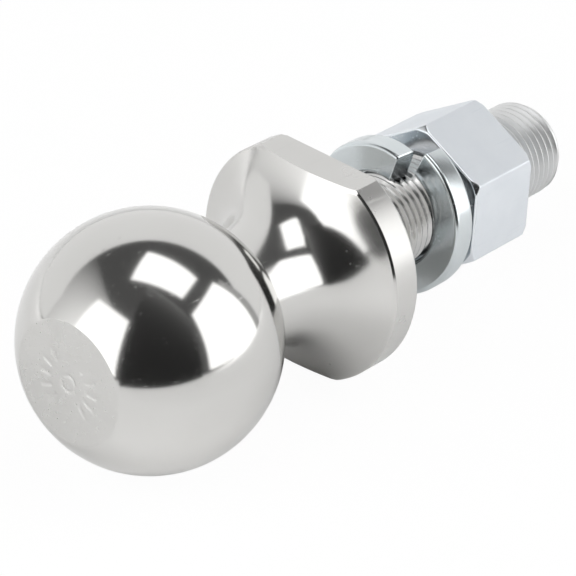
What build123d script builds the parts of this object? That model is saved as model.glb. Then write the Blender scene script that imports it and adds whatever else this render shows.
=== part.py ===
from build123d import *
import math
import os

# A threaded tow ball lying on its side: a forged and turned stud, with the spring washer and the
# hex nut that clamp it to a drawbar. X runs along the stud from the ball towards the threaded end,
# Z is up, and the origin is the middle of the flange's seat.

# Ball, with the flat that is turned on its crown
ball_diameter = 47.6
crown_flat_diameter = 23.8
crown_edge_radius = 0.4

# Neck and the hollow skirt that flares from it to the flange, steeper and steeper. The two holds say
# for what share of its length the flare keeps the direction of the neck and that of its own rim.
neck_diameter = 23.0
neck_length = 1.0
neck_root_radius = 0.8
skirt_length = 18.2
skirt_rim_angle = 69.0
skirt_neck_hold = 0.685
skirt_rim_hold = 0.465

# Flange, a round rim with two opposite flats for the wrench
flange_diameter = 46.5
flange_thickness = 6.3
wrench_across_flats = 40.5
rim_edge_radius = 0.5

# Shank, at the crests of its thread, with a chamfer as deep as the thread at its free end
shank_diameter = 19.05
shank_length = 62.5
shank_root_radius = 0.6
thread_depth = 0.97
end_chamfer_length = 1.6

# Hex nut, standing off the seat by the gap that a drawbar and the washer fill. Its upper corner
# leans a little to +Y, and the chamfer takes off no more than the corners.
nut_stand_off = 28.5
nut_thickness = 17.4
nut_across_flats = 27.8
nut_corner_lean = 2.8
nut_face_diameter = 30.0
nut_chamfer_angle = 45.0
nut_countersink = 0.9
thread_clearance = 0.06

# Spring washer, one left-hand turn of square-edged wire with a cut at the top
washer_wire_width = 6.1
washer_wire_height = 5.0
washer_wire_corner = 0.9
washer_rise = 6.0
washer_cut_angle = 7.0
washer_cut_turn = 13.0
washer_bore_clearance = 0.33
washer_to_nut = 1.7

# Radii and places along X that follow from the sizes above
ball_radius = ball_diameter / 2
crown_radius = crown_flat_diameter / 2
neck_radius = neck_diameter / 2
flange_radius = flange_diameter / 2
shank_radius = shank_diameter / 2
shank_end_radius = shank_radius - thread_depth
rim_x = -flange_thickness
skirt_x = rim_x - skirt_length
neck_x = skirt_x - neck_length
ball_centre_x = neck_x - math.sqrt(ball_radius**2 - neck_radius**2)
crown_x = ball_centre_x - math.sqrt(ball_radius**2 - crown_radius**2)
chamfer_x = shank_length - end_chamfer_length
rim_pull = skirt_length * skirt_rim_hold
rim_slope = math.radians(skirt_rim_angle)

with BuildPart() as stud:
    with BuildSketch(Plane.XZ) as stud_profile:
        with BuildLine():
            crown = Line((crown_x, 0), (crown_x, crown_radius))
            ball = ThreePointArc(crown @ 1, (ball_centre_x, ball_radius), (neck_x, neck_radius))
            neck = Line(ball @ 1, (skirt_x, neck_radius))
            skirt = Bezier(
                neck @ 1,
                (skirt_x + skirt_length * skirt_neck_hold, neck_radius),
                (rim_x - rim_pull * math.cos(rim_slope), flange_radius - rim_pull * math.sin(rim_slope)),
                (rim_x, flange_radius),
            )
            rim = Line(skirt @ 1, (0, flange_radius))
            seat = Line(rim @ 1, (0, shank_radius))
            shank = Line(seat @ 1, (chamfer_x, shank_radius))
            end_chamfer = Line(shank @ 1, (shank_length, shank_end_radius))
            Polyline(end_chamfer @ 1, (shank_length, 0), crown @ 0)
        make_face()
        for corner, radius in (
            (crown @ 1, crown_edge_radius),
            (neck @ 0, neck_root_radius),
            (rim @ 0, rim_edge_radius),
            (rim @ 1, rim_edge_radius),
            (shank @ 0, shank_root_radius),
        ):
            fillet(stud_profile.vertices().sort_by_distance(corner)[0], radius=radius)
    revolve(axis=Axis.X)
    # The flats are milled across the flange and run out into the skirt
    with BuildSketch(Plane.YZ):
        Rectangle(2 * flange_diameter, 2 * flange_diameter)
        Rectangle(2 * flange_diameter, wrench_across_flats, mode=Mode.SUBTRACT)
    extrude(amount=skirt_x, mode=Mode.SUBTRACT)
stud.part.label = "ball_stud"

nut_height = nut_stand_off + nut_thickness
nut_corner_radius = nut_across_flats / math.sqrt(3)
nut_face_radius = nut_face_diameter / 2
blank_radius = 2 * nut_corner_radius - nut_face_radius
nut_chamfer_length = (blank_radius - nut_face_radius) * math.tan(math.radians(nut_chamfer_angle))
nut_bore_radius = shank_radius + thread_clearance

with BuildPart() as nut:
    with BuildSketch(Plane.YZ.offset(nut_stand_off)):
        RegularPolygon(nut_across_flats / 2, side_count=6, major_radius=False, rotation=30 - nut_corner_lean)
    extrude(amount=nut_thickness)
    # Both faces are turned to a cone, which takes the corners off the hexagon
    with BuildSketch(Plane.XZ):
        with BuildLine():
            Polyline(
                (nut_stand_off, 0),
                (nut_stand_off, nut_face_radius),
                (nut_stand_off + nut_chamfer_length, blank_radius),
                (nut_height - nut_chamfer_length, blank_radius),
                (nut_height, nut_face_radius),
                (nut_height, 0),
                close=True,
            )
        make_face()
    revolve(axis=Axis.X, mode=Mode.INTERSECT)
    with Locations(Plane.YZ.offset(nut_height)):
        Hole(nut_bore_radius)
    bore_rims = nut.edges().filter_by(GeomType.CIRCLE).sort_by(SortBy.RADIUS)[:2]
    chamfer(bore_rims, length=nut_countersink)
nut.part.label = "hex_nut"

washer_turn = 360 - washer_cut_angle
washer_wire_radius = shank_radius + washer_bore_clearance + washer_wire_width / 2
washer_end_x = nut_stand_off - washer_to_nut - washer_wire_height / 2
washer_start_x = washer_end_x - washer_rise * washer_turn / 360
cut_turn = math.radians(washer_cut_turn)
washer_plane = Plane(
    origin=(washer_start_x, 0, 0),
    x_dir=(0, -math.sin(cut_turn), math.cos(cut_turn)),
    z_dir=(1, 0, 0),
)

# The coil is a curve of its own, because a helix takes no turn from the plane of a sketch
coil = washer_plane * Helix(
    pitch=washer_rise,
    height=washer_rise * washer_turn / 360,
    radius=washer_wire_radius,
    lefthand=True,
)
with BuildPart() as washer:
    with BuildSketch(Plane(coil @ 0, x_dir=washer_plane.x_dir, z_dir=coil % 0)):
        RectangleRounded(washer_wire_width, washer_wire_height, washer_wire_corner)
    sweep(path=coil, is_frenet=True)
washer.part.label = "lock_washer"

os.makedirs("parts", exist_ok=True)
for piece in (stud, washer, nut):
    export_step(piece.part, f"parts/{piece.part.label}.step")
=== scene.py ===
import math

import bmesh
import bpy
import numpy as np
from mathutils import Matrix, Vector


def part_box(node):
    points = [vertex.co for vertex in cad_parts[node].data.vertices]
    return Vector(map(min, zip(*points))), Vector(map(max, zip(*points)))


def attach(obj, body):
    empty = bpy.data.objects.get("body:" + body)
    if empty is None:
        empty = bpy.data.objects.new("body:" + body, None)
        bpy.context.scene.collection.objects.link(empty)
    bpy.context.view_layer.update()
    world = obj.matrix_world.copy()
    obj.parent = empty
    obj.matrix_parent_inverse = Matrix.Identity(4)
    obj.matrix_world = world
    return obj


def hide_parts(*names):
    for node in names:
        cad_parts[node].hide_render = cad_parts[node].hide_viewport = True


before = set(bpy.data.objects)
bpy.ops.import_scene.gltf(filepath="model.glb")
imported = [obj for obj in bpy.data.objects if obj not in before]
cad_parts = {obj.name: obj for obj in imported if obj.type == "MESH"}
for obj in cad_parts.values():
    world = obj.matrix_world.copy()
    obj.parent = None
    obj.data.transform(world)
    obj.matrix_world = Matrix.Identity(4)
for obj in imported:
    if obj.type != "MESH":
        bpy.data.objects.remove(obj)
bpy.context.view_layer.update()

# A threaded tow ball with its spring washer and hex nut. Metres, X along the stud from the ball
# towards the threaded end, Z up, and the origin in the middle of the flange's seat.

MM = 0.001
STUD_LOW, STUD_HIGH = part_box("ball_stud")
NUT_LOW, NUT_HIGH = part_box("hex_nut")

# Ball and crown
BALL_RADIUS = 23.8 * MM
CROWN_X = STUD_LOW.x
CROWN_RADIUS = 11.9 * MM
CROWN_EDGE = 0.4 * MM
BALL_X = CROWN_X + math.sqrt(BALL_RADIUS**2 - CROWN_RADIUS**2)

# Marks stamped in the crown: two arcs of short bars about a small ring
CROWN_MARK_DEPTH = 0.13 * MM
MARK_RING_RADIUS = 1.6 * MM
MARK_RING_WIDTH = 0.5 * MM
MARK_ARC_RADIUS = 5.6 * MM
MARK_LENGTH = 2.6 * MM
MARK_WIDTH = 0.75 * MM
MARK_SPREAD = math.radians(100)
MARKS_IN_ARC = 5
MARK_SOFTNESS = 0.4 * MM

# Neck, skirt and flange
NECK_RADIUS = 11.5 * MM
NECK_ROOT = 0.8 * MM
SKIRT_LENGTH = 18.2 * MM
SKIRT_RIM_ANGLE = math.radians(69)
SKIRT_NECK_HOLD = 0.685
SKIRT_RIM_HOLD = 0.465
RIM_X = -6.3 * MM
SKIRT_X = RIM_X - SKIRT_LENGTH
FLANGE_RADIUS = 23.25 * MM
RIM_EDGE = 0.5 * MM
FLAT_HEIGHT = 20.25 * MM
FLAT_HALF_ANGLE = math.acos(FLAT_HEIGHT / FLANGE_RADIUS)

# Shank and thread
SHANK_RADIUS = 9.525 * MM
SHANK_ROOT = 0.6 * MM
SHANK_END = STUD_HIGH.x
END_CHAMFER = 1.6 * MM
THREAD_START = 2.5 * MM
THREAD_RUNOUT = 2.0 * MM
INCH = 25.4 * MM
THREADS_PER_INCH = 16
PITCH = INCH / THREADS_PER_INCH
THREAD_DEPTH = 0.97 * MM
NUT_CLEARANCE = 0.06 * MM
# Half a turn of the thread's outline: place in the pitch, and depth as a share of the whole
THREAD_KNOTS = ((0.045, 0.0), (0.085, 0.07), (0.33, 0.9), (0.385, 0.99))
# Turns laid out past each end of the thread, and then pressed flat against that end
TURNS_BEFORE = 2
TURNS_AFTER = 1

# Hex nut
NUT_FACE_RADIUS = 15.0 * MM
NUT_APOTHEM = 13.9 * MM
NUT_CORNER_LEAN = math.radians(2.8)
NUT_CHAMFER_SLOPE = math.tan(math.radians(45))
NUT_CORNER = 0.45 * MM
NUT_COUNTERSINK = 0.9 * MM
NUT_EDGE = 0.3 * MM

# Spring washer
WIRE_WIDTH = 6.1 * MM
WIRE_HEIGHT = 5.0 * MM
WIRE_CORNER = 0.9 * MM
WIRE_END_CUT = 0.18 * MM
WASHER_RISE = 6.0 * MM
WASHER_TURN = math.radians(353)
WASHER_CUT_LEAN = math.radians(13)
WASHER_START_ANGLE = math.pi / 2 + WASHER_CUT_LEAN
WASHER_CLEARANCE = 0.33 * MM
WASHER_TO_NUT = 1.7 * MM
WASHER_RADIUS = SHANK_RADIUS + WASHER_CLEARANCE + WIRE_WIDTH / 2
WASHER_END_X = NUT_LOW.x - WASHER_TO_NUT - WIRE_HEIGHT / 2
WASHER_START_X = WASHER_END_X - WASHER_RISE * WASHER_TURN / math.tau

# Rows and columns of the meshes
FLAT_COLUMNS = 24
ROUND_COLUMNS = 52
CROWN_ROWS = 44
CROWN_FIRST_RING = 0.6 * MM
CROWN_LAST_GAP = 0.15 * MM
CROWN_EDGE_STEPS = 5
BALL_FRONT_STEPS = 36
BALL_BACK_STEPS = 34
NECK_ROOT_STEPS = 8
NECK_STEPS = 6
SKIRT_ROWS = 44
RIM_ROWS = 6
SEAT_ROWS = 26
SHANK_ROOT_STEPS = 6
PLAIN_SHANK_STEPS = 4
SHANK_END_ROWS = 10
NUT_SIDE_COLUMNS = 28
NUT_CORNER_COLUMNS = 4
NUT_EDGE_STEPS = 3
WASHER_STEPS = 180
WIRE_CORNER_STEPS = 5
# The flange's outlines are drawn finely, and cut and resampled afterwards
FINE_SKIRT_STEPS = 3000
FINE_EDGE_STEPS = 400
FINE_SEAT_STEPS = 2000

# Points closer than this become one
MERGE_DISTANCE = 0.5e-6
# Edges that turn by more than this stay sharp
STUD_CREASE = math.radians(22)
NUT_CREASE = math.radians(50)
WASHER_CREASE = math.radians(30)
# The most of a stretch of outline that the softening of a corner may take
LARGEST_CUT = 0.4
# Keeps the reach of a column to a wrench flat finite where the column is level
SMALLEST_SINE = 1e-6

# Order of the materials on the stud and on the nut
CROWN, BALL, FLANGE, RIM, THREAD = range(5)
NUT_SIDE, NUT_TURNED = range(2)

# Colours of the platings, clean and dull
BRIGHT = (0.645, 0.64, 0.625)
BRIGHT_DULL = (0.60, 0.595, 0.58)
BRIGHT_THREAD = (0.70, 0.70, 0.70)
WORN_THREAD = (0.75, 0.755, 0.755)
ZINC = (0.81, 0.84, 0.87)
ZINC_DULL = (0.76, 0.79, 0.825)
# The washer's zinc, made darker than the nut's as painted shade for the shadowed floor that it mirrors
# between the flange and the nut
WASHER_ZINC_AND_SHADE = (0.69, 0.73, 0.745)
WASHER_ZINC_DULL_AND_SHADE = (0.62, 0.665, 0.68)
CLOUD_CONTRAST = 1.6

# Wear of the thread along X, and what it adds to the roughness
THREAD_WEAR_START = 18.0 * MM
THREAD_WEAR_END = 52.0 * MM
THREAD_WEAR = 0.24

# Scratches: their depth, what they add to the roughness, the three ways that they run, and the level
# of noise above which they show, which falls as their share rises
SCRATCH_DEPTH = 0.0015 * MM
SCRATCH_ROUGHNESS = 0.12
SCRATCH_SCALE = 70.0
SCRATCH_TURNS = ((0.3, 0.9, 0.2), (1.3, 0.4, 1.1), (2.2, 1.5, 0.6))
SCRATCH_STRETCH = (1.0, 26.0, 26.0)
SCRATCH_LEVEL = 0.74
SCRATCH_LEVEL_BY_SHARE = -0.2
SCRATCH_SHARPNESS = 18.0

# Floor and world
WHITE = (1.0, 1.0, 1.0)
PAPER = (0.85, 0.85, 0.85)
FLOOR_REACH = 6.0
FLOOR_GLOW = 0.96
FLOOR_GLOW_MIRRORED = 0.02
WORLD_GLOW = 0.02
WORLD_GLOW_MIRRORED = 0.1
WORLD_GLOW_TO_CAMERA = 1.0

# Lamps by their place and aim from the ball in metres, their size and their watts
FLOOR_LAMPS = {
    "left_floor_lamp": ((-0.853, 0.229, 0.469), (0, 0, 0), 0.9, 9.5),
    "right_floor_lamp": ((0.557, -0.663, 0.5), (0, 0, 0), 0.9, 12.0),
    "back_floor_lamp": ((-0.25, 0.7, 0.4), (-0.25, 0.7, 0), 0.5, 2.4),
}

# Upright panels by their first and last azimuth about the ball in degrees, their distance in metres,
# and the elevations of their lower and upper edge in degrees
RIGHT_SOFTBOX = (-88, -34, 0.62, 1.5, 50)
LEFT_SOFTBOX = (148, 195, 0.66, -3, 47)
BACKDROP = (-37, 117, 0.7, -6, 54.75)
RIGHT_GAP = (-34, -27, 0.75, -6, 42)
LEFT_WALL = (92, 182, 3.2, -6, 52)
# Corners of the overhead panel from the ball, and the foot and top of the dark room behind the camera
OVERHEAD_CORNERS = ((-0.272, 0.181, 1), (0.240, 0.340, 1), (0.478, -0.371, 1), (0.039, -0.553, 1))
DARK_ROOM_FOOT = ((-0.228, -0.066), (-0.105, -0.677))
DARK_ROOM_TOP = 0.85
# Brightness of the panels, and for two of them also at the far side and at the top as a share of it
SOFTBOX_GLOW = 1.9
BACKDROP_GLOW = 1.0
RIGHT_GAP_GLOW = 0.45
LEFT_WALL_GLOW = (0.27, 2.05, 0.25)
DARK_ROOM_GLOW = (0.026, 0.026, 9.0)
TOP_FADE_POWER = 2.0

# Camera, fitted to the outlines of the ball, the flange and the nut
FRAME_PIXELS = 576
VIEW_AZIMUTH = math.radians(38.09)
VIEW_DROP = math.radians(31.53)
VIEW_ROLL = math.radians(5.48)
VIEW_FOCAL_PIXELS = 3225.1
VIEW_DEPTH = 567.06 * MM
VIEW_CENTRE_PIXEL = (288.4, 313.0)
BALL_PIXEL = (150.1, 340.8)
SENSOR_WIDTH = 36.0
CLIP_START = 0.01


# Outlines and grids of points

def line(start, end, steps):
    """Points of a straight stretch of an outline, without its last point"""
    share = np.linspace(0, 1, steps, endpoint=False)[:, None]
    return np.array(start) * (1 - share) + np.array(end) * share


def arc(centre, start, end, steps):
    """Points of the shorter arc from start to end about centre, without its last point"""
    centre, start, end = (np.array(point, float) for point in (centre, start, end))
    first = math.atan2(*(start - centre)[::-1])
    sweep = math.atan2(*(end - centre)[::-1]) - first
    sweep = (sweep + math.pi) % math.tau - math.pi
    angle = first + np.linspace(0, 1, steps, endpoint=False) * sweep
    radius = np.linalg.norm(start - centre)
    return centre + radius * np.stack([np.cos(angle), np.sin(angle)], -1)


def bezier(start, first_pull, second_pull, end, steps):
    """Points of the cubic curve with these four control points"""
    share = np.linspace(0, 1, steps)[:, None]
    points = [np.array(point, float) for point in (start, first_pull, second_pull, end)]
    weights = [(1 - share) ** 3, 3 * (1 - share) ** 2 * share, 3 * (1 - share) * share**2, share**3]
    return sum(weight * point for weight, point in zip(weights, points))


def towards(start, end, distance):
    """The point that lies that far from start on the way to end"""
    start, end = np.array(start, float), np.array(end, float)
    return start + (end - start) * distance / np.linalg.norm(end - start)


def places_along(outline):
    """Where each point of an outline lies, as a share of the outline's length"""
    steps = np.linalg.norm(np.diff(outline, axis=0), axis=1)
    return np.concatenate([[0], np.cumsum(steps)]) / steps.sum()


def resample(outline, shares):
    """Points along an outline at these shares of its length, one row for each row of shares"""
    places = places_along(outline)
    return np.stack([np.interp(shares, places, outline[:, i]) for i in (0, 1)], -1)


def revolve(outline, angles):
    """Rings about X from outline points (x, radius), or from a grid of them with a column an angle"""
    outline = np.asarray(outline)
    if outline.ndim == 2:
        outline = np.repeat(outline[:, None], len(angles), 1)
    x, radius = outline[..., 0], outline[..., 1]
    return np.stack([x, radius * np.cos(angles), radius * np.sin(angles)], -1)


class Skin:
    """Gathers grids of points into one closed mesh"""

    def __init__(self):
        self.points = []
        self.faces = []
        self.finishes = []
        self.count = 0

    def add(self, grid, finish=0, climb=0):
        """Joins the rings of a grid by faces. climb is the number of rows gained in one turn."""
        rows, columns = grid.shape[:2]
        for row in range(rows - 1):
            for column in range(columns):
                corners = []
                for r, c in ((row, column), (row + 1, column), (row + 1, column + 1), (row, column + 1)):
                    if c == columns:
                        r, c = min(r + climb, rows - 1), 0
                    corners.append(self.count + r * columns + c)
                self.faces.append(corners)
                self.finishes.append(finish)
        self.points.append(grid.reshape(-1, 3))
        self.count += rows * columns

    def cap(self, ring):
        """Closes a ring with one face"""
        self.faces.append(list(range(self.count, self.count + len(ring))))
        self.finishes.append(0)
        self.points.append(ring)
        self.count += len(ring)

    def build(self, name, materials, crease, soft_finishes=()):
        """Makes the object. Edges that turn by more than crease are sharp, except on soft finishes."""
        mesh = bpy.data.meshes.new(name)
        mesh.from_pydata(np.concatenate(self.points).tolist(), [], self.faces)
        mesh.polygons.foreach_set("material_index", self.finishes)
        for material in materials:
            mesh.materials.append(material)
        solid = bmesh.new()
        solid.from_mesh(mesh)
        bmesh.ops.remove_doubles(solid, verts=solid.verts, dist=MERGE_DISTANCE)
        bmesh.ops.dissolve_degenerate(solid, edges=solid.edges, dist=MERGE_DISTANCE)
        bmesh.ops.recalc_face_normals(solid, faces=solid.faces)
        for face in solid.faces:
            face.smooth = True
        for edge in solid.edges:
            soft = any(face.material_index in soft_finishes for face in edge.link_faces)
            edge.smooth = soft or len(edge.link_faces) != 2 or edge.calc_face_angle() < crease
        solid.to_mesh(mesh)
        solid.free()
        piece = bpy.data.objects.new(name, mesh)
        bpy.context.scene.collection.objects.link(piece)
        even = piece.modifiers.new("even_shading", "WEIGHTED_NORMAL")
        even.keep_sharp = True
        return piece


# Thread

def thread_depth_at(turns):
    """Depth of the thread, as a share, at a place counted in turns from a crest"""
    places = [0.0] + [place for place, _ in THREAD_KNOTS] + [0.5]
    depths = [0.0] + [depth for _, depth in THREAD_KNOTS] + [1.0]
    return np.interp(np.abs((turns + 0.5) % 1 - 0.5), places, depths)


def thread_rows(low, high, angles, radius_at):
    """Rows that follow the right-hand thread between two plain rings, and the rows gained in a turn"""
    half = [place for place, _ in THREAD_KNOTS]
    places = np.array(half + [1 - place for place in reversed(half)])
    first = math.floor(low / PITCH) - TURNS_BEFORE
    last = math.ceil(high / PITCH) + TURNS_AFTER
    starts = (np.arange(first, last)[:, None] + places).ravel()
    x = np.clip(PITCH * (starts[:, None] + angles / math.tau), low, high)
    radius = radius_at(x, thread_depth_at(x / PITCH - angles / math.tau))
    return revolve(np.stack([x, radius], -1), angles), len(places)


# Stud

def stud_angles():
    """Angles of the stud's columns, with one column at each end of each wrench flat"""
    angles = []
    gap = math.pi - 2 * FLAT_HALF_ANGLE
    for middle in (math.pi / 2, 3 * math.pi / 2):
        start, end = middle - FLAT_HALF_ANGLE, middle + FLAT_HALF_ANGLE
        angles.append(np.linspace(start, end, FLAT_COLUMNS, endpoint=False))
        angles.append(np.linspace(end, end + gap, ROUND_COLUMNS, endpoint=False))
    return np.sort(np.concatenate(angles) % math.tau)


def soft_step(distance):
    """Goes smoothly from 0 to 1 where a distance goes from negative to positive"""
    share = np.clip(distance / MARK_SOFTNESS + 0.5, 0, 1)
    return share * share * (3 - 2 * share)


def crown_marks(y, z):
    """Depth of the marks, as a share, at points of the crown"""
    radius = np.hypot(y, z)
    angle = np.arctan2(z, y)
    depth = soft_step(MARK_RING_WIDTH / 2 - np.abs(radius - MARK_RING_RADIUS))
    for middle in (0.0, math.pi):
        for place in np.linspace(-0.5, 0.5, MARKS_IN_ARC):
            turn = (angle - middle - place * MARK_SPREAD + math.pi) % math.tau - math.pi
            across = MARK_WIDTH / 2 - np.abs(radius * np.sin(turn))
            along = MARK_LENGTH / 2 - np.abs(radius * np.cos(turn) - MARK_ARC_RADIUS)
            depth = np.maximum(depth, soft_step(np.minimum(across, along)))
    return depth


def ball_outline():
    """Outline of the crown's edge, the ball and the neck, and the radius of the crown's flat"""
    crown_arc = (
        CROWN_X + CROWN_EDGE,
        math.sqrt((BALL_RADIUS - CROWN_EDGE) ** 2 - (CROWN_X + CROWN_EDGE - BALL_X) ** 2),
    )
    ball_centre = (BALL_X, 0)
    ball_start = towards(ball_centre, crown_arc, BALL_RADIUS)
    root_arc = (
        BALL_X + math.sqrt((BALL_RADIUS + NECK_ROOT) ** 2 - (NECK_RADIUS + NECK_ROOT) ** 2),
        NECK_RADIUS + NECK_ROOT,
    )
    ball_end = towards(ball_centre, root_arc, BALL_RADIUS)
    ball_top = (BALL_X, BALL_RADIUS)
    neck_start = (root_arc[0], NECK_RADIUS)
    neck_end = (SKIRT_X, NECK_RADIUS)
    return np.concatenate([
        arc(crown_arc, (CROWN_X, crown_arc[1]), ball_start, CROWN_EDGE_STEPS),
        arc(ball_centre, ball_start, ball_top, BALL_FRONT_STEPS),
        arc(ball_centre, ball_top, ball_end, BALL_BACK_STEPS),
        arc(root_arc, ball_end, neck_start, NECK_ROOT_STEPS),
        line(neck_start, neck_end, NECK_STEPS),
        [neck_end],
    ]), crown_arc[1]


def flange_outlines():
    """Fine outlines of the flange's rising front and of its falling back down to the shank's root"""
    pull = SKIRT_LENGTH * SKIRT_RIM_HOLD
    skirt = bezier(
        (SKIRT_X, NECK_RADIUS),
        (SKIRT_X + SKIRT_LENGTH * SKIRT_NECK_HOLD, NECK_RADIUS),
        (RIM_X - pull * math.cos(SKIRT_RIM_ANGLE), FLANGE_RADIUS - pull * math.sin(SKIRT_RIM_ANGLE)),
        (RIM_X, FLANGE_RADIUS),
        FINE_SKIRT_STEPS,
    )
    # The rim's front edge is rounded about a centre that lies as far from the skirt as from the rim
    edge_radius = FLANGE_RADIUS - RIM_EDGE
    slope = np.gradient(skirt, axis=0)
    slope /= np.linalg.norm(slope, axis=1, keepdims=True)
    inside = skirt + RIM_EDGE * np.stack([slope[:, 1], -slope[:, 0]], -1)
    last = np.searchsorted(inside[:, 1], edge_radius)
    edge_centre = inside[last]
    rim_start = (edge_centre[0], FLANGE_RADIUS)
    rim_end = (-RIM_EDGE, FLANGE_RADIUS)
    seat_start = (0, edge_radius)
    seat_end = (0, SHANK_RADIUS + SHANK_ROOT)
    front = np.concatenate([
        skirt[:last],
        arc(edge_centre, skirt[last], rim_start, FINE_EDGE_STEPS),
        [rim_start],
    ])
    back = np.concatenate([
        arc((-RIM_EDGE, edge_radius), rim_end, seat_start, FINE_EDGE_STEPS),
        line(seat_start, seat_end, FINE_SEAT_STEPS),
        [seat_end],
    ])
    return front, back


def cut_by_flat(outline, angles, rows, rising):
    """Rows of an outline, cut short where a column meets the plane of a wrench flat"""
    places = places_along(outline)
    reach = FLAT_HEIGHT / np.maximum(np.abs(np.sin(angles)), SMALLEST_SINE)
    radii, shares = (outline[:, 1], places) if rising else (outline[::-1, 1], places[::-1])
    cut = np.interp(np.minimum(reach, FLANGE_RADIUS), radii, shares)
    even = np.linspace(0, 1, rows)[:, None]
    wanted = even * cut if rising else cut + even * (1 - cut)
    return resample(outline, wanted)


def stud_thread_radius(x, depth):
    """Radius of the thread, which fades in at its start and is cut by the chamfer at the shank's end"""
    fade = np.clip((x - THREAD_START) / THREAD_RUNOUT, 0, 1)
    past = np.clip((x - SHANK_END + END_CHAMFER) / END_CHAMFER, 0, 1)
    return np.minimum(SHANK_RADIUS - THREAD_DEPTH * fade * depth, SHANK_RADIUS - THREAD_DEPTH * past)


def build_stud(materials):
    angles = stud_angles()
    skin = Skin()
    ball, crown_flat_radius = ball_outline()

    rings = np.linspace(CROWN_FIRST_RING, crown_flat_radius - CROWN_LAST_GAP, CROWN_ROWS)
    crown_radii = np.concatenate([[0.0], rings, [crown_flat_radius]])
    crown = revolve(np.stack([np.full_like(crown_radii, CROWN_X), crown_radii], -1), angles)
    crown[..., 0] += CROWN_MARK_DEPTH * crown_marks(crown[..., 1], crown[..., 2])
    skin.add(crown, CROWN)
    skin.add(revolve(ball, angles), BALL)

    front, back = flange_outlines()
    rise = cut_by_flat(front, angles, SKIRT_ROWS, True)
    fall = cut_by_flat(back, angles, SEAT_ROWS, False)
    share = np.linspace(0, 1, RIM_ROWS)[:, None, None]
    skin.add(revolve(rise, angles), FLANGE)
    skin.add(revolve(rise[-1] * (1 - share) + fall[0] * share, angles), RIM)
    skin.add(revolve(fall, angles), RIM)

    root_centre = (SHANK_ROOT, SHANK_RADIUS + SHANK_ROOT)
    shank_start = (SHANK_ROOT, SHANK_RADIUS)
    thread_start = (THREAD_START, SHANK_RADIUS)
    shank = np.concatenate([
        arc(root_centre, (0, root_centre[1]), shank_start, SHANK_ROOT_STEPS),
        line(shank_start, thread_start, PLAIN_SHANK_STEPS),
        [thread_start],
    ])
    skin.add(revolve(shank, angles), THREAD)
    rows, climb = thread_rows(THREAD_START, SHANK_END, angles, stud_thread_radius)
    skin.add(rows, THREAD, climb)
    end_radii = np.linspace(SHANK_RADIUS - THREAD_DEPTH, 0, SHANK_END_ROWS)
    end = np.stack([np.full_like(end_radii, SHANK_END), end_radii], -1)
    skin.add(revolve(end, angles), THREAD)
    return skin.build("tow_ball_stud", materials, STUD_CREASE, (THREAD,))


# Nut

def hexagon():
    """Points of the rounded hexagon that the nut is cut from, with one corner nearly up"""
    points = []
    corner_reach = (NUT_APOTHEM - NUT_CORNER) / math.cos(math.pi / 6)
    for corner in range(6):
        middle = math.pi / 2 - NUT_CORNER_LEAN + corner * math.pi / 3
        centre = corner_reach * np.array([math.cos(middle), math.sin(middle)])
        bend = middle + np.linspace(-math.pi / 6, math.pi / 6, NUT_CORNER_COLUMNS)
        points.append(centre + NUT_CORNER * np.stack([np.cos(bend), np.sin(bend)], -1))
    outline = []
    for corner, following in zip(points, points[1:] + points[:1]):
        outline += [corner[:-1], line(corner[-1], following[0], NUT_SIDE_COLUMNS)]
    return np.concatenate(outline)


def soften(rows, cut, steps):
    """Rounds each inner corner of the outlines in a grid, one outline a column"""
    softened = [rows[:1]]
    for before, corner, after in zip(rows[:-2], rows[1:-1], rows[2:]):
        ends = []
        for neighbour in (before, after):
            way = neighbour - corner
            reach = np.linalg.norm(way, axis=-1, keepdims=True)
            ends.append(corner + way * np.minimum(cut / reach, LARGEST_CUT))
        for share in np.linspace(0, 1, steps + 1):
            bend = (1 - share) ** 2 * ends[0] + 2 * share * (1 - share) * corner + share**2 * ends[1]
            softened.append(bend[None])
    softened.append(rows[-1:])
    return np.concatenate(softened)


def build_nut(materials):
    outline = hexagon()
    angles = np.arctan2(outline[:, 1], outline[:, 0])
    reach = np.hypot(outline[:, 0], outline[:, 1])
    face_reach = np.minimum(reach - NUT_EDGE, NUT_FACE_RADIUS)
    chamfer = np.maximum((reach - NUT_FACE_RADIUS) * NUT_CHAMFER_SLOPE, NUT_EDGE)
    mouth = SHANK_RADIUS + NUT_CLEARANCE + NUT_COUNTERSINK
    low, high = NUT_LOW.x, NUT_HIGH.x
    columns = np.ones_like(reach)
    side = np.array([
        (low * columns, mouth * columns),
        (low * columns, face_reach),
        (low + chamfer, reach),
        (high - chamfer, reach),
        (high * columns, face_reach),
        (high * columns, mouth * columns),
    ]).transpose(0, 2, 1)
    profile = soften(side, NUT_EDGE, NUT_EDGE_STEPS)
    # Rows at each end that belong to the turned face and its chamfer
    turned = len(profile) // 2 - 1 - NUT_EDGE_STEPS // 2
    skin = Skin()
    skin.add(revolve(profile[:turned + 1], angles), NUT_TURNED)
    skin.add(revolve(profile[turned:-turned], angles), NUT_SIDE)
    skin.add(revolve(profile[-turned - 1:], angles), NUT_TURNED)

    def thread_radius(x, depth):
        bore = SHANK_RADIUS + NUT_CLEARANCE - THREAD_DEPTH * depth
        from_face = np.minimum(x - low, high - x)
        return np.maximum(bore, mouth - from_face)

    rows, climb = thread_rows(low, high, np.sort(angles % math.tau), thread_radius)
    skin.add(rows, NUT_TURNED, climb)
    return skin.build("threaded_hex_nut", materials, NUT_CREASE)


# Spring washer

def wire_section(shrink):
    """The rounded rectangle of the wire, as offsets outwards from the axis and along it"""
    half_width, half_height = WIRE_WIDTH / 2 - WIRE_CORNER, WIRE_HEIGHT / 2 - WIRE_CORNER
    points = []
    for corner, (u, v) in enumerate(((1, 1), (-1, 1), (-1, -1), (1, -1))):
        bend = corner * math.pi / 2 + np.linspace(0, math.pi / 2, WIRE_CORNER_STEPS + 1)
        centre = np.array([u * half_width, v * half_height])
        points.append(centre + (WIRE_CORNER - shrink) * np.stack([np.cos(bend), np.sin(bend)], -1))
    return np.concatenate(points)


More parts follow.
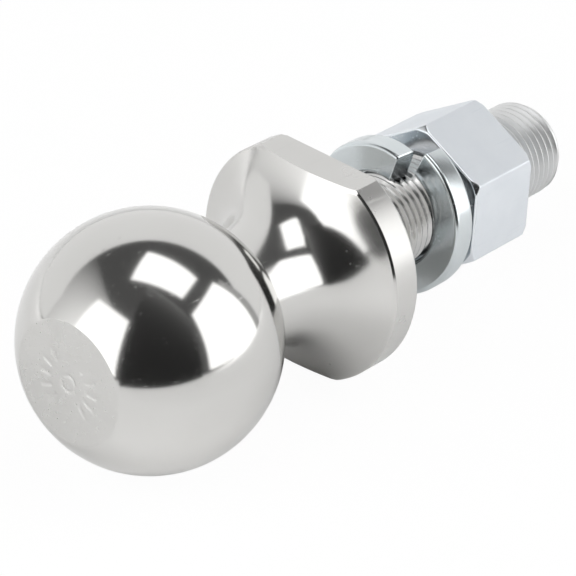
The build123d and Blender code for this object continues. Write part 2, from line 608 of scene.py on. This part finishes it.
def build_washer(material):
    end_share = WIRE_END_CUT / (WASHER_RADIUS * WASHER_TURN)
    inner_shares = np.linspace(0, 1, WASHER_STEPS)[1:-1]
    shares = np.concatenate([[0, end_share], inner_shares, [1 - end_share, 1]])
    shrinks = [WIRE_END_CUT] + [0.0] * (len(shares) - 2) + [WIRE_END_CUT]
    rings = []
    for share, shrink in zip(shares, shrinks):
        angle = WASHER_START_ANGLE - share * WASHER_TURN
        outward = np.array([0, math.cos(angle), math.sin(angle)])
        along = WASHER_RADIUS * np.array([0, math.sin(angle), -math.cos(angle)])
        along[0] = WASHER_RISE / math.tau
        across = np.cross(along / np.linalg.norm(along), outward)
        middle = WASHER_RADIUS * outward
        middle[0] = WASHER_START_X + WASHER_RISE * share * WASHER_TURN / math.tau
        section = wire_section(shrink)
        rings.append(middle + section[:, :1] * outward + section[:, 1:] * across)
    skin = Skin()
    skin.add(np.array(rings))
    skin.cap(rings[0])
    skin.cap(rings[-1])
    return skin.build("spring_lock_washer", [material], WASHER_CREASE)


# Shader nodes

# Places of the Mix node's sockets, whose names repeat for each kind of data
MIX_SHARE = 0
MIX_VALUES = (2, 3)
MIX_COLOURS = (6, 7)
MIX_VALUE_RESULT = 0
MIX_COLOUR_RESULT = 2


def node(tree, kind, inputs=None, **settings):
    """Adds a node. Its inputs are values, or sockets to link."""
    made = tree.nodes.new(kind)
    for key, value in settings.items():
        setattr(made, key, value)
    for key, value in (inputs or {}).items():
        if isinstance(value, bpy.types.NodeSocket):
            tree.links.new(value, made.inputs[key])
        else:
            made.inputs[key].default_value = value
    return made


def maths(tree, operation, *values, **settings):
    made = node(tree, "ShaderNodeMath", dict(enumerate(values)), operation=operation, **settings)
    return made.outputs["Value"]


def blend_values(tree, share, low, high, start=0.0, end=1.0):
    """A value that goes from low to high as share goes from start to end"""
    limits = {"From Min": start, "From Max": end, "To Min": low, "To Max": high}
    return node(tree, "ShaderNodeMapRange", {"Value": share, **limits}).outputs["Result"]


def mix_values(tree, share, low, high):
    inputs = {MIX_SHARE: share, MIX_VALUES[0]: low, MIX_VALUES[1]: high}
    return node(tree, "ShaderNodeMix", inputs).outputs[MIX_VALUE_RESULT]


def mix_colours(tree, share, first, second):
    inputs = {MIX_SHARE: share, MIX_COLOURS[0]: first, MIX_COLOURS[1]: second}
    return node(tree, "ShaderNodeMix", inputs, data_type="RGBA").outputs[MIX_COLOUR_RESULT]


def noise(tree, inputs, **settings):
    return node(tree, "ShaderNodeTexNoise", inputs, **settings).outputs["Fac"]


def object_place(tree):
    return node(tree, "ShaderNodeTexCoord").outputs["Object"]


def opaque(colour):
    return (*colour, 1.0)


def effect(name, inputs, output):
    """An empty node group with these named sockets, its inputs, and the socket of its output"""
    group = bpy.data.node_groups.new(name, "ShaderNodeTree")
    for label, value in inputs.items():
        socket = group.interface.new_socket(label, in_out="INPUT", socket_type="NodeSocketFloat")
        socket.default_value = value
    group.interface.new_socket(output, in_out="OUTPUT", socket_type="NodeSocketFloat")
    given = node(group, "NodeGroupInput").outputs
    return group, given, node(group, "NodeGroupOutput").inputs[output]


def turning_marks():
    """Fine rings left by turning, about X. Facing is 0 on a cylinder and 1 on a flat face."""
    inputs = {"Rings": 6000.0, "Facing": 0.0, "Waver": 0.2}
    group, given, result = effect("turning_marks", inputs, "Height")
    place = object_place(group)
    x, y, z = node(group, "ShaderNodeSeparateXYZ", {"Vector": place}).outputs
    radius = maths(group, "SQRT", maths(group, "MULTIPLY_ADD", z, z, maths(group, "MULTIPLY", y, y)))
    track = mix_values(group, given["Facing"], x, radius)
    drift = noise(group, {"Vector": place, "Scale": 90.0, "Detail": 1.0})
    wander = maths(group, "MULTIPLY", drift, given["Waver"])
    along = maths(group, "MULTIPLY_ADD", track, given["Rings"], wander)
    rings = noise(group, {"W": along, "Scale": 1.0, "Detail": 3.0}, noise_dimensions="1D")
    group.links.new(rings, result)
    return group


def hairline_scratches():
    """Thin scratches in three directions. Share is how much of the surface they cover."""
    group, given, result = effect("hairline_scratches", {"Scale": 60.0, "Share": 0.2}, "Mask")
    place = object_place(group)
    level = maths(group, "MULTIPLY_ADD", given["Share"], SCRATCH_LEVEL_BY_SHARE, SCRATCH_LEVEL)
    masks = []
    for turn in SCRATCH_TURNS:
        mapping = {"Vector": place, "Rotation": turn, "Scale": SCRATCH_STRETCH}
        turned = node(group, "ShaderNodeMapping", mapping).outputs["Vector"]
        grain = noise(group, {"Vector": turned, "Scale": given["Scale"], "Detail": 1.0})
        past = maths(group, "SUBTRACT", grain, level)
        masks.append(maths(group, "MULTIPLY", past, SCRATCH_SHARPNESS, use_clamp=True))
    total = masks[0]
    for mask in masks[1:]:
        total = maths(group, "MAXIMUM", total, mask)
    group.links.new(total, result)
    return group


def clouding():
    """Soft patches where the plating is a little duller"""
    group, given, result = effect("clouding", {"Scale": 60.0, "Contrast": 1.0}, "Mask")
    grain = noise(group, {"Vector": object_place(group), "Scale": given["Scale"], "Detail": 4.0})
    centred = maths(group, "SUBTRACT", grain, 0.5)
    spread = maths(group, "MULTIPLY_ADD", centred, given["Contrast"], 0.5)
    group.links.new(node(group, "ShaderNodeClamp", {"Value": spread}).outputs["Result"], result)
    return group


def orange_peel():
    """The fine dimples of plated steel"""
    group, given, result = effect("orange_peel", {"Scale": 900.0}, "Height")
    grain = noise(group, {"Vector": object_place(group), "Scale": given["Scale"], "Detail": 2.0})
    group.links.new(grain, result)
    return group


EFFECTS = {make.__name__: make() for make in (turning_marks, hairline_scratches, clouding, orange_peel)}


def place_effect(tree, name, **values):
    return node(tree, "ShaderNodeGroup", values, node_tree=EFFECTS[name]).outputs[0]


# Metals

def metal(name, colours, roughness, cloud_scale, scratch_share, bumps):
    """A plated finish, clouded between clean and dull colours and roughness. A bump is an effect, its
    inputs and its depth in metres."""
    material = bpy.data.materials.new(name)
    material.use_nodes = True
    tree = material.node_tree
    shader = tree.nodes["Principled BSDF"].inputs
    shader["Metallic"].default_value = 1.0
    cloud = place_effect(tree, "clouding", Scale=cloud_scale, Contrast=CLOUD_CONTRAST)
    scratches = place_effect(tree, "hairline_scratches", Scale=SCRATCH_SCALE, Share=scratch_share)
    clean, dull = colours
    tree.links.new(mix_colours(tree, cloud, opaque(clean), opaque(dull)), shader["Base Color"])
    gloss = blend_values(tree, cloud, *roughness)
    gloss = maths(tree, "MULTIPLY_ADD", scratches, SCRATCH_ROUGHNESS, gloss)
    tree.links.new(gloss, shader["Roughness"])
    before = {}
    for effect_name, values, depth in bumps:
        bump = {"Height": place_effect(tree, effect_name, **values), "Strength": 1.0, "Distance": depth}
        before = {"Normal": node(tree, "ShaderNodeBump", {**bump, **before}).outputs["Normal"]}
    bump = {"Height": scratches, "Strength": 1.0, "Distance": SCRATCH_DEPTH}
    normal = node(tree, "ShaderNodeBump", {**bump, **before}, invert=True).outputs["Normal"]
    tree.links.new(normal, shader["Normal"])
    return material


def stamped_crown():
    return metal(
        "stamped_crown",
        colours=(BRIGHT, BRIGHT_DULL),
        roughness=(0.22, 0.30),
        cloud_scale=120.0,
        scratch_share=0.08,
        bumps=[
            ("turning_marks", {"Rings": 7000.0, "Facing": 1.0}, 0.002 * MM),
            ("orange_peel", {"Scale": 500.0}, 0.01 * MM),
        ],
    )


def polished_ball():
    return metal(
        "polished_ball",
        colours=(BRIGHT, BRIGHT_DULL),
        roughness=(0.09, 0.14),
        cloud_scale=45.0,
        scratch_share=0.12,
        bumps=[("turning_marks", {"Rings": 5000.0, "Waver": 1.5}, 0.0004 * MM)],
    )


def turned_flange():
    return metal(
        "turned_flange",
        colours=(BRIGHT, BRIGHT_DULL),
        roughness=(0.12, 0.18),
        cloud_scale=60.0,
        scratch_share=0.0,
        bumps=[("turning_marks", {"Rings": 5000.0, "Facing": 0.5}, 0.0008 * MM)],
    )


def turned_rim():
    return metal(
        "turned_rim",
        colours=(BRIGHT, BRIGHT_DULL),
        roughness=(0.26, 0.32),
        cloud_scale=60.0,
        scratch_share=0.15,
        bumps=[("turning_marks", {"Rings": 5000.0}, 0.0008 * MM)],
    )


def rolled_thread():
    """Bright by the flange, and paler and more matte towards the free end"""
    material = metal(
        "rolled_thread",
        colours=(BRIGHT_THREAD, BRIGHT_DULL),
        roughness=(0.12, 0.20),
        cloud_scale=160.0,
        scratch_share=0.15,
        bumps=[("orange_peel", {"Scale": 1500.0}, 0.002 * MM)],
    )
    tree = material.node_tree
    shader = tree.nodes["Principled BSDF"].inputs
    along = node(tree, "ShaderNodeSeparateXYZ", {"Vector": object_place(tree)}).outputs["X"]
    wear = blend_values(tree, along, 0.0, 1.0, THREAD_WEAR_START, THREAD_WEAR_END)
    gloss = shader["Roughness"].links[0].from_socket
    tree.links.new(maths(tree, "MULTIPLY_ADD", wear, THREAD_WEAR, gloss), shader["Roughness"])
    tone = shader["Base Color"].links[0].from_socket
    tree.links.new(mix_colours(tree, wear, tone, opaque(WORN_THREAD)), shader["Base Color"])
    return material


def zinc_nut():
    return metal(
        "zinc_nut",
        colours=(ZINC, ZINC_DULL),
        roughness=(0.54, 0.62),
        cloud_scale=130.0,
        scratch_share=0.2,
        bumps=[("orange_peel", {"Scale": 420.0}, 0.012 * MM)],
    )


def turned_zinc():
    return metal(
        "turned_zinc",
        colours=(ZINC, ZINC_DULL),
        roughness=(0.14, 0.22),
        cloud_scale=130.0,
        scratch_share=0.2,
        bumps=[("turning_marks", {"Rings": 5000.0, "Facing": 1.0}, 0.001 * MM)],
    )


def zinc_washer_with_painted_shade():
    # Darker than the nut's zinc: the washer's plating with painted shade for the shadowed floor that it
    # mirrors
    return metal(
        "zinc_washer_with_painted_shade",
        colours=(WASHER_ZINC_AND_SHADE, WASHER_ZINC_DULL_AND_SHADE),
        roughness=(0.15, 0.24),
        cloud_scale=150.0,
        scratch_share=0.0,
        bumps=[("orange_peel", {"Scale": 500.0}, 0.006 * MM)],
    )


# Studio

def empty_material(name):
    """A material with no shader yet, and the socket of its surface"""
    material = bpy.data.materials.new(name)
    material.use_nodes = True
    nodes = material.node_tree.nodes
    nodes.remove(nodes["Principled BSDF"])
    return material, nodes["Material Output"].inputs["Surface"]


def glow_shader(tree, level):
    return node(tree, "ShaderNodeEmission", {"Color": opaque(WHITE), "Strength": level}).outputs["Emission"]


def plain_material(name, level):
    """A panel of one brightness"""
    material, surface = empty_material(name)
    tree = material.node_tree
    tree.links.new(glow_shader(tree, level), surface)
    return material


def fading_material(name, near_level, far_level, top_share):
    """A panel whose brightness goes from near to far level across it, and to a share of it at its top"""
    material, surface = empty_material(name)
    tree = material.node_tree
    place = node(tree, "ShaderNodeTexCoord").outputs["UV"]
    parts = node(tree, "ShaderNodeSeparateXYZ", {"Vector": place}).outputs
    across = blend_values(tree, parts["X"], near_level, far_level)
    height = maths(tree, "POWER", parts["Y"], TOP_FADE_POWER)
    level = maths(tree, "MULTIPLY", across, blend_values(tree, height, 1.0, top_share))
    tree.links.new(glow_shader(tree, level), surface)
    return material


def floor_material():
    """Paper, seen nearly full white with a faint shadow by the camera, and as it is lit in the metal"""
    material, surface = empty_material("floor_paper")
    tree = material.node_tree
    paper = node(tree, "ShaderNodeBsdfDiffuse", {"Color": opaque(PAPER)}).outputs["BSDF"]
    ray = node(tree, "ShaderNodeLightPath").outputs
    seen = maths(tree, "MAXIMUM", ray["Is Camera Ray"], ray["Is Transmission Ray"])
    share = maths(tree, "MULTIPLY", seen, FLOOR_GLOW)
    share = maths(tree, "MULTIPLY_ADD", ray["Is Glossy Ray"], FLOOR_GLOW_MIRRORED, share)
    shaders = (share, paper, glow_shader(tree, 1.0))
    mixed = node(tree, "ShaderNodeMixShader", dict(enumerate(shaders))).outputs["Shader"]
    tree.links.new(mixed, surface)
    return material


def panel(name, corners, material, for_camera=False, lights=True):
    """A flat panel of the studio with these four corners"""
    mesh = bpy.data.meshes.new(name)
    mesh.from_pydata([tuple(corner) for corner in corners], [], [(0, 1, 2, 3)])
    mesh.materials.append(material)
    across = mesh.uv_layers.new(name="across")
    across.data.foreach_set("uv", [0, 0, 1, 0, 1, 1, 0, 1])
    board = bpy.data.objects.new(name, mesh)
    bpy.context.scene.collection.objects.link(board)
    board.visible_camera = for_camera
    board.visible_shadow = False
    board.visible_diffuse = lights
    return board


def upright(first_azimuth, last_azimuth, distance, low, high):
    """Corners of an upright panel that spans these azimuths about the ball, square to its middle"""
    reach = distance / math.cos(math.radians(last_azimuth - first_azimuth) / 2)
    spans = ((first_azimuth, low), (last_azimuth, low), (last_azimuth, high), (first_azimuth, high))
    corners = []
    for azimuth, elevation in spans:
        turn = math.radians(azimuth)
        rise = distance * math.tan(math.radians(elevation))
        corners.append(Vector((BALL_X + reach * math.cos(turn), reach * math.sin(turn), rise)))
    return corners


def build_floor():
    """The floor, which rises a little towards +X, for a part that lies on its ball and its flange"""
    span = math.hypot(BALL_X, FLAT_HEIGHT)
    slope = math.asin(BALL_RADIUS / span) - math.atan2(FLAT_HEIGHT, -BALL_X)
    tilt = Matrix.Rotation(-slope, 4, "Y")
    foot = Vector((0, 0, -FLAT_HEIGHT))
    sides = ((-1, -1), (1, -1), (1, 1), (-1, 1))
    corners = [foot + tilt @ Vector((x * FLOOR_REACH, y * FLOOR_REACH, 0)) for x, y in sides]
    floor = panel("floor", corners, floor_material(), for_camera=True)
    floor.visible_shadow = True


def build_panels():
    """What the metal mirrors. The softboxes light the floor too, and the other panels don't."""
    ball = Vector((BALL_X, 0, 0))
    softbox = plain_material("softbox", SOFTBOX_GLOW)
    panel("right_softbox", upright(*RIGHT_SOFTBOX), softbox)
    panel("left_softbox", upright(*LEFT_SOFTBOX), softbox)
    panel("overhead_softbox", [ball + Vector(corner) for corner in OVERHEAD_CORNERS], softbox)

    room = [(x, y, -BALL_RADIUS) for x, y in DARK_ROOM_FOOT]
    room += [(x, y, DARK_ROOM_TOP) for x, y in reversed(DARK_ROOM_FOOT)]
    for name, corners, material in (
        ("backdrop", upright(*BACKDROP), plain_material("backdrop_paper", BACKDROP_GLOW)),
        ("right_gap", upright(*RIGHT_GAP), plain_material("right_gap", RIGHT_GAP_GLOW)),
        ("left_wall", upright(*LEFT_WALL), fading_material("left_wall", *LEFT_WALL_GLOW)),
        ("dark_room", room, fading_material("dark_room", *DARK_ROOM_GLOW)),
    ):
        panel(name, corners, material, lights=False)


def build_floor_lamps():
    """Lamps that light the floor from the left, the right and the back, unseen in the metal"""
    for name, (place, aim, size, watts) in FLOOR_LAMPS.items():
        light = bpy.data.lights.new(name, "AREA")
        light.size = size
        light.energy = watts
        lamp = bpy.data.objects.new(name, light)
        lamp.location = Vector((BALL_X, 0, 0)) + Vector(place)
        lamp.rotation_euler = (Vector(place) - Vector(aim)).to_track_quat("Z", "Y").to_euler()
        lamp.visible_glossy = False
        bpy.context.scene.collection.objects.link(lamp)


def build_world():
    """White to the camera, and faint to the paper and to the metal"""
    world = bpy.data.worlds.new("studio")
    world.use_nodes = True
    tree = world.node_tree
    ray = node(tree, "ShaderNodeLightPath").outputs
    soft = blend_values(tree, ray["Is Glossy Ray"], WORLD_GLOW, WORLD_GLOW_MIRRORED)
    level = mix_values(tree, ray["Is Camera Ray"], soft, WORLD_GLOW_TO_CAMERA)
    back = tree.nodes["Background"].inputs
    back["Color"].default_value = opaque(WHITE)
    tree.links.new(level, back["Strength"])
    bpy.context.scene.world = world


def build_camera():
    forward = Vector((
        math.cos(VIEW_DROP) * math.cos(VIEW_AZIMUTH),
        math.cos(VIEW_DROP) * math.sin(VIEW_AZIMUTH),
        -math.sin(VIEW_DROP),
    ))
    level = Vector((math.sin(VIEW_AZIMUTH), -math.cos(VIEW_AZIMUTH), 0))
    rise = level.cross(forward)
    right = level * math.cos(VIEW_ROLL) + rise * math.sin(VIEW_ROLL)
    up = rise * math.cos(VIEW_ROLL) - level * math.sin(VIEW_ROLL)
    across = (BALL_PIXEL[0] - VIEW_CENTRE_PIXEL[0]) * VIEW_DEPTH / VIEW_FOCAL_PIXELS
    above = (VIEW_CENTRE_PIXEL[1] - BALL_PIXEL[1]) * VIEW_DEPTH / VIEW_FOCAL_PIXELS
    place = Vector((BALL_X, 0, 0)) - right * across - up * above - forward * VIEW_DEPTH
    lens = bpy.data.cameras.new("camera")
    lens.sensor_width = SENSOR_WIDTH
    lens.lens = VIEW_FOCAL_PIXELS * SENSOR_WIDTH / FRAME_PIXELS
    lens.shift_x = (FRAME_PIXELS / 2 - VIEW_CENTRE_PIXEL[0]) / FRAME_PIXELS
    lens.shift_y = (VIEW_CENTRE_PIXEL[1] - FRAME_PIXELS / 2) / FRAME_PIXELS
    lens.clip_start = CLIP_START
    camera = bpy.data.objects.new("camera", lens)
    camera.matrix_world = Matrix.Translation(place) @ Matrix((right, up, -forward)).transposed().to_4x4()
    bpy.context.scene.collection.objects.link(camera)
    bpy.context.scene.camera = camera


stud = build_stud([stamped_crown(), polished_ball(), turned_flange(), turned_rim(), rolled_thread()])
nut = build_nut([zinc_nut(), turned_zinc()])
# The washer's material is darker than the nut's zinc by painted shade
washer = build_washer(zinc_washer_with_painted_shade())
for piece, body, cad_node, finish in (
    (stud, "stud", "ball_stud", "bright_plating"),
    (washer, "washer", "lock_washer", "washer_zinc"),
    (nut, "nut", "hex_nut", "nut_zinc"),
):
    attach(piece, body)
    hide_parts(cad_node)

build_floor()
build_panels()
build_floor_lamps()
build_world()
build_camera()
bpy.context.scene.view_settings.view_transform = "Standard"
